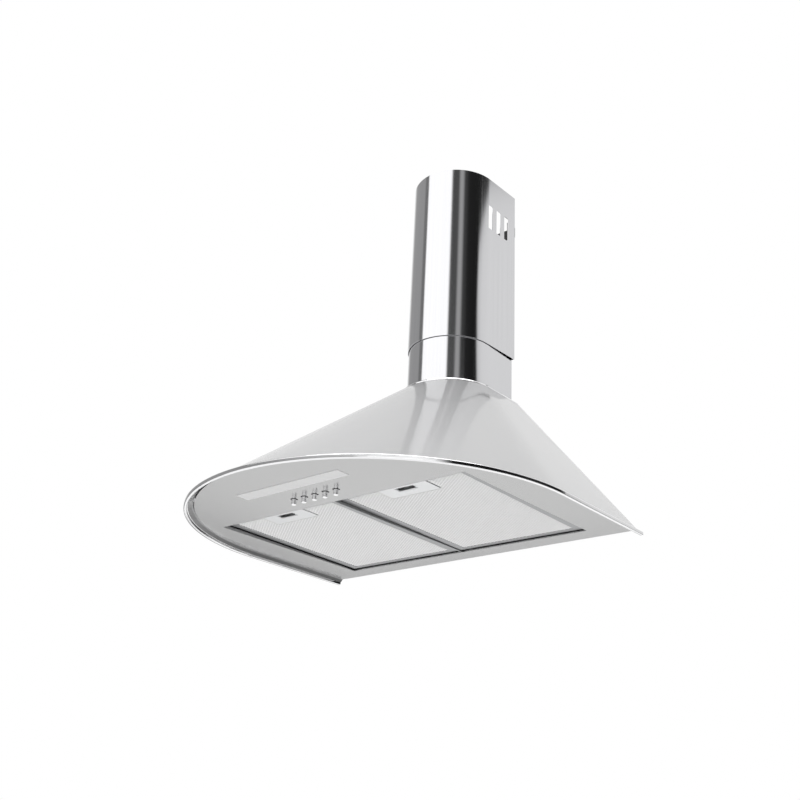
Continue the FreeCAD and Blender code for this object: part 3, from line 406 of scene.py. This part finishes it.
@dataclass(frozen=True)
class Studio:
    """White sweep, soft lights and the dark flags that give polished steel its bands.

    Directions are degrees: round from +X towards +Y, and above the horizon. Four rings of grey
    levels lie on one another, low, skirt, tent and high, and horizon, waist and ceiling are where
    one fades into the next. The tent's levels are shifted round by an angle that depends on the
    height, in full at the first of shift_ends and not at all past the second.
    """

    high: ClassVar[Levels] = [
        (-180, 150), (-130, 150), (-110, 255), (75, 255), (100, 200), (140, 162), (180, 150)]
    tent: ClassVar[Levels] = [
        (-180, 140), (-150, 140), (-147, 105), (-137, 105), (-135, 255), (-68, 255), (-63, 70),
        (-48, 70), (-42, 145), (-36, 145), (-30, 62), (-18, 30), (8, 24), (14, 190), (24, 203),
        (60, 207), (110, 220), (131, 196), (137, 200), (146, 208), (154, 178), (165, 140)]
    skirt: ClassVar[Levels] = [
        (-180, 130), (-150, 130), (-140, 125), (-70, 90), (-61, 255), (-28, 255), (-18, 22),
        (54, 22), (60, 195), (110, 215), (150, 200), (165, 130)]
    low: ClassVar[Levels] = [
        (-180, 100), (-150, 100), (-140, 225), (-40, 225), (-26, 90), (-18, 30), (55, 30),
        (70, 200), (118, 195), (127, 172), (140, 152), (180, 120)]
    shifts: ClassVar[list[tuple[float, float]]] = [
        (-90, 0), (20, 18), (25, 6), (29, 0), (32.5, 2), (34, 14), (35, 32), (38, 50), (42, 0),
        (55, 0)]

    floor_z: float = -1.3
    floor_half: float = 3.3
    strength: float = 1.45
    overhead: float = 1.8
    overhead_spread: float = 50.0
    overhead_place: tuple[float, float, float] = (0.0, -0.3, 1.5)
    ceiling: tuple[float, float] = (53.0, 62.0)
    waist: tuple[float, float] = (19.5, 22.5)
    horizon: tuple[float, float] = (-8.0, -2.0)
    max_shift: float = 90.0
    shift_ends: tuple[float, float] = (70.0, 110.0)

    def build(self) -> None:
        """Make the floor, the world and the overhead light."""
        mesh = bpy.data.meshes.new("studio_floor")
        form = bmesh.new()
        bmesh.ops.create_grid(form, x_segments=2, y_segments=2, size=self.floor_half,
                              matrix=Matrix.Translation((0.0, 0.0, self.floor_z)))
        form.to_mesh(mesh)
        form.free()
        floor = bpy.data.objects.new("studio_floor", mesh)
        bpy.context.scene.collection.objects.link(floor)
        mesh.materials.append(FLOOR.build())
        self.world()
        light = bpy.data.lights.new("overhead", "SUN")
        light.energy = self.overhead
        light.angle = math.radians(self.overhead_spread)
        lamp = bpy.data.objects.new("overhead", light)
        lamp.location = self.overhead_place
        bpy.context.scene.collection.objects.link(lamp)

    def world(self) -> None:
        """Light tent: white to the camera, with grey and black flags round it for reflections."""
        world = bpy.data.worlds.new("light_tent")
        bpy.context.scene.world = world
        world.use_nodes = True
        tree = world.node_tree
        tree.nodes.clear()
        where = add_node(tree, "ShaderNodeTexCoord")
        parts = add_node(tree, "ShaderNodeSeparateXYZ", links={"Vector": (where, "Generated")})
        turn = add_node(tree, "ShaderNodeMath", {"operation": "ARCTAN2"},
                        links={0: (parts, "Y"), 1: (parts, "X")})
        around = add_node(tree, "ShaderNodeMath", {"operation": "DEGREES"}, links={0: (turn, 0)})
        rise = add_node(tree, "ShaderNodeMath", {"operation": "ARCSINE"}, links={0: (parts, "Z")})
        above = add_node(tree, "ShaderNodeMath", {"operation": "DEGREES"}, links={0: (rise, 0)})
        moved = self.moved(tree, (around, "Value"), (above, "Value"))
        whole = (self.band(tree, (around, "Value"), self.low), "Color")
        for levels, angle, (start, end) in ((self.skirt, around, self.horizon),
                                            (self.tent, moved, self.waist),
                                            (self.high, around, self.ceiling)):
            band = self.band(tree, (angle, "Value"), levels)
            share = add_node(tree, "ShaderNodeMapRange", {"interpolation_type": "SMOOTHSTEP"},
                             {"From Min": start, "From Max": end}, {"Value": (above, "Value")})
            mixed = add_node(tree, "ShaderNodeMix", {"data_type": "RGBA"},
                             links={"Factor": (share, "Result"), MIX_FIRST: whole,
                                    MIX_SECOND: (band, "Color")})
            whole = (mixed, MIXED)
        tent = add_node(tree, "ShaderNodeBackground", values={"Strength": self.strength},
                        links={"Color": whole})
        white = add_node(tree, "ShaderNodeBackground",
                         values={"Color": linear("FFFFFF"), "Strength": 1.0})
        seen = add_node(tree, "ShaderNodeLightPath")
        mix = add_node(tree, "ShaderNodeMixShader",
                       links={0: (seen, "Is Camera Ray"), 1: (tent, 0), 2: (white, 0)})
        add_node(tree, "ShaderNodeOutputWorld", links={"Surface": (mix, 0)})

    def moved(self, tree: Tree, around: Link, above: Link) -> Node:
        """Angle that the tent is read at, so that the right-hand flag's edge leans with the height.

        Args:
            tree: the world's nodes.
            around: angle round the horizon.
            above: angle above it.

        Returns:
            The node that gives the angle.
        """
        stops = []
        for rise, shift in self.shifts:
            share = shift / self.max_shift
            stops.append((rise, (share, share, share, 1.0)))
        ramp = self.ramp(tree, above, WHOLE_RISE, stops)
        whole, none = self.shift_ends
        fade = add_node(tree, "ShaderNodeMapRange",
                        values={"From Min": whole, "From Max": none,
                                "To Min": self.max_shift, "To Max": 0.0},
                        links={"Value": around})
        shift = add_node(tree, "ShaderNodeMath", {"operation": "MULTIPLY"},
                         links={0: (ramp, "Color"), 1: (fade, "Result")})
        reached = add_node(tree, "ShaderNodeMath", {"operation": "SUBTRACT"},
                           links={0: around, 1: (shift, "Value")})
        left = add_node(tree, "ShaderNodeMath", {"operation": "MINIMUM"}, {1: 0.0}, {0: around})
        return add_node(tree, "ShaderNodeMath", {"operation": "MAXIMUM"},
                        links={0: (reached, "Value"), 1: (left, "Value")})

    def ramp(self, tree: Tree, angle: Link, span: tuple[float, float],
             stops: Sequence[tuple[float, Rgba]]) -> Node:
        """Colours along an angle.

        Args:
            tree: the world's nodes.
            angle: the angle to read them at.
            span: the least and the greatest angle.
            stops: angle and colour of each stop.

        Returns:
            The ramp.
        """
        low, high = span
        place = add_node(tree, "ShaderNodeMapRange", values={"From Min": low, "From Max": high},
                         links={"Value": angle})
        ramp = add_node(tree, "ShaderNodeValToRGB", links={"Fac": (place, "Result")})
        set_stops(ramp.color_ramp, [((at - low) / (high - low), colour) for at, colour in stops])
        return ramp

    def band(self, tree: Tree, around: Link, levels: Levels) -> Node:
        """Grey levels round the horizon.

        Args:
            tree: the world's nodes.
            around: the angle to read them at.
            levels: angle and 8-bit level of each stop.

        Returns:
            The ramp.
        """
        stops = [(angle, grey(level)) for angle, level in levels]
        return self.ramp(tree, around, WHOLE_TURN, stops)


@dataclass(frozen=True)
class PhotoCamera:
    """Camera fitted to the object's edges, for a frame of 800 by 800."""

    place: tuple[float, float, float] = (0.97611, -1.31868, -0.59090)
    right: tuple[float, float, float] = (0.76554371, 0.64165593, 0.04712223)
    over: tuple[float, float, float] = (0.22682334, -0.33770432, 0.91351353)
    back: tuple[float, float, float] = (0.60207475, -0.68864611, -0.40406995)
    lens: float = 46.817
    sensor: float = 36.0
    nearest: float = 0.01
    farthest: float = 50.0

    def build(self) -> None:
        """Place the camera."""
        data = bpy.data.cameras.new("photo_camera")
        data.sensor_width = self.sensor
        data.sensor_fit = "HORIZONTAL"
        data.lens = self.lens
        data.clip_start = self.nearest
        data.clip_end = self.farthest
        camera = bpy.data.objects.new("photo_camera", data)
        bpy.context.scene.collection.objects.link(camera)
        turn = Matrix((self.right, self.over, self.back)).transposed().to_4x4()
        camera.matrix_world = Matrix.Translation(self.place) @ turn
        bpy.context.scene.camera = camera


@dataclass(frozen=True)
class ExpandedSheet:
    """Lowest sheet of one filter's expanded metal, in the window of the filter's frame.

    Sizes are in millimetres, heights are above the underside panel, and the tilt is in degrees. The
    sheet leaves room for the latch plate and tilts with its filter about the hinge. Its diamonds
    are long_way by short_way, as wide as they need to show at the photograph's size.
    """

    side: str
    window_x: tuple[float, float] = (14.8, 213.2)
    window_y: tuple[float, float] = (-320.2, -49.3)
    plate_x: tuple[float, float] = (73.0, 155.0)
    plate_y: float = -287.5
    long_way: float = 6.6
    short_way: float = 5.0
    strand: float = 0.95
    thick: float = 0.35
    low_h: float = 3.1
    tilt: float = 0.63
    hinge_y: float = -45.0
    hinge_h: float = 7.3

    def build(self, finish: bpy.types.Material) -> bpy.types.Object:
        """Make the sheet and let it ride on its filter.

        Args:
            finish: its material.

        Returns:
            The new object.
        """
        form = bmesh.new()
        self.lattice(form)
        form.transform(self.placing())
        form.normal_update()    # the mirrored sheet's are stale, and would be recalculated inwards
        bmesh.ops.recalc_face_normals(form, faces=form.faces)
        name = "expanded_sheet_" + self.side
        mesh = bpy.data.meshes.new(name)
        form.to_mesh(mesh)
        form.free()
        mesh.materials.append(finish)
        piece = bpy.data.objects.new(name, mesh)
        bpy.context.scene.collection.objects.link(piece)
        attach(piece, "filter_" + self.side)
        LOG.info("%s: %d faces", name, len(mesh.polygons))
        return piece

    def middle(self) -> Vector:
        """Middle of the right filter's window, in millimetres."""
        return Vector((sum(self.window_x) / 2.0, sum(self.window_y) / 2.0, 0.0))

    def lattice(self, form: bmesh.types.BMesh) -> None:
        """Cut diamonds out of a flat sheet about the window's middle, in millimetres.

        Args:
            form: the empty form that the sheet is made in.
        """
        half_x = (self.window_x[1] - self.window_x[0]) / 2.0
        half_y = (self.window_y[1] - self.window_y[0]) / 2.0
        reach = math.ceil(half_x / self.long_way + half_y / self.short_way) + 1
        diagonal = math.sqrt(2.0)    # width of a unit square that stands on its corner
        stretch = Matrix.Diagonal((self.long_way / diagonal, self.short_way / diagonal, 1.0, 1.0))
        bmesh.ops.create_grid(form, x_segments=2 * reach, y_segments=2 * reach, size=float(reach),
                              matrix=stretch @ Matrix.Rotation(math.radians(45.0), 4, "Z"))
        middle = self.middle()
        outside = [face for face in form.faces
                   if not self.inside(face.calc_center_median() + middle, half_x, half_y, middle)]
        bmesh.ops.delete(form, geom=outside, context="FACES")
        diamonds = list(form.faces)
        bmesh.ops.inset_individual(form, faces=diamonds, thickness=self.strand / 2.0,
                                   use_even_offset=True)
        bmesh.ops.delete(form, geom=diamonds, context="FACES")
        bmesh.ops.solidify(form, geom=list(form.faces), thickness=self.thick)

    def inside(self, place: Vector, half_x: float, half_y: float, middle: Vector) -> bool:
        """Whether a diamond lies in the window and clear of the latch plate.

        Args:
            place: the diamond's middle.
            half_x: half of the window's width.
            half_y: half of the window's depth.
            middle: the window's middle.

        Returns:
            True if it belongs to the sheet.
        """
        room_x, room_y = self.long_way / 2.0, self.short_way / 2.0
        if abs(place.x - middle.x) > half_x - room_x or abs(place.y - middle.y) > half_y - room_y:
            return False
        beside = place.x < self.plate_x[0] - room_x or place.x > self.plate_x[1] + room_x
        return beside or place.y > self.plate_y + room_y

    def placing(self) -> Matrix:
        """From the flat sheet in millimetres to its place in the frame, in metres."""
        middle = self.middle()
        turn = (Matrix.Translation((0.0, self.hinge_y, self.hinge_h))
                @ Matrix.Rotation(math.radians(-self.tilt), 4, "X")
                @ Matrix.Translation((0.0, -self.hinge_y, -self.hinge_h)))
        place = turn @ Matrix.Translation((middle.x, middle.y, self.low_h))
        mirror = Matrix.Diagonal((-1.0 if self.side == "left" else 1.0, 1.0, 1.0, 1.0))
        return Matrix.Scale(MM, 4) @ Matrix.Translation((0.0, 0.0, -ORIGIN_H)) @ mirror @ place


def dress_nodes(frame: dict, made: dict[str, bpy.types.Material]) -> None:
    """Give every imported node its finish, by the record's material slots.

    Args:
        made: the materials by slot.
    """
    slots = {part["node"]: part["material_slot"] for part in frame["record"]["subparts"]}
    own = {finish: finish.build() for finish in dict.fromkeys(NODE_FINISHES.values())}
    for name, node in frame["nodes"].items():
        material = own[NODE_FINISHES[name]] if name in NODE_FINISHES else made[slots[name]]
        if node.data.materials:
            for place in node.material_slots:
                place.material = material
        else:
            node.data.materials.append(material)
    LOG.info("dressed %d nodes", len(slots))


def main() -> None:
    """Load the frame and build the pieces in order."""
    logging.basicConfig(level=logging.INFO)
    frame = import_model()
    PhotoCamera().build()
    Studio().build()
    made = {slot: finish.build() for slot, finish in FINISHES.items()}
    dress_nodes(frame, made)
    # Painted light: the lowest sheets take the lighter strand colour
    strand = PAINTED_LIGHT_STRAND.build()
    for side in ("left", "right"):
        ExpandedSheet(side).build(strand)
    bpy.context.scene.view_settings.view_transform = "Standard"


if __name__ == "__main__":
    main()
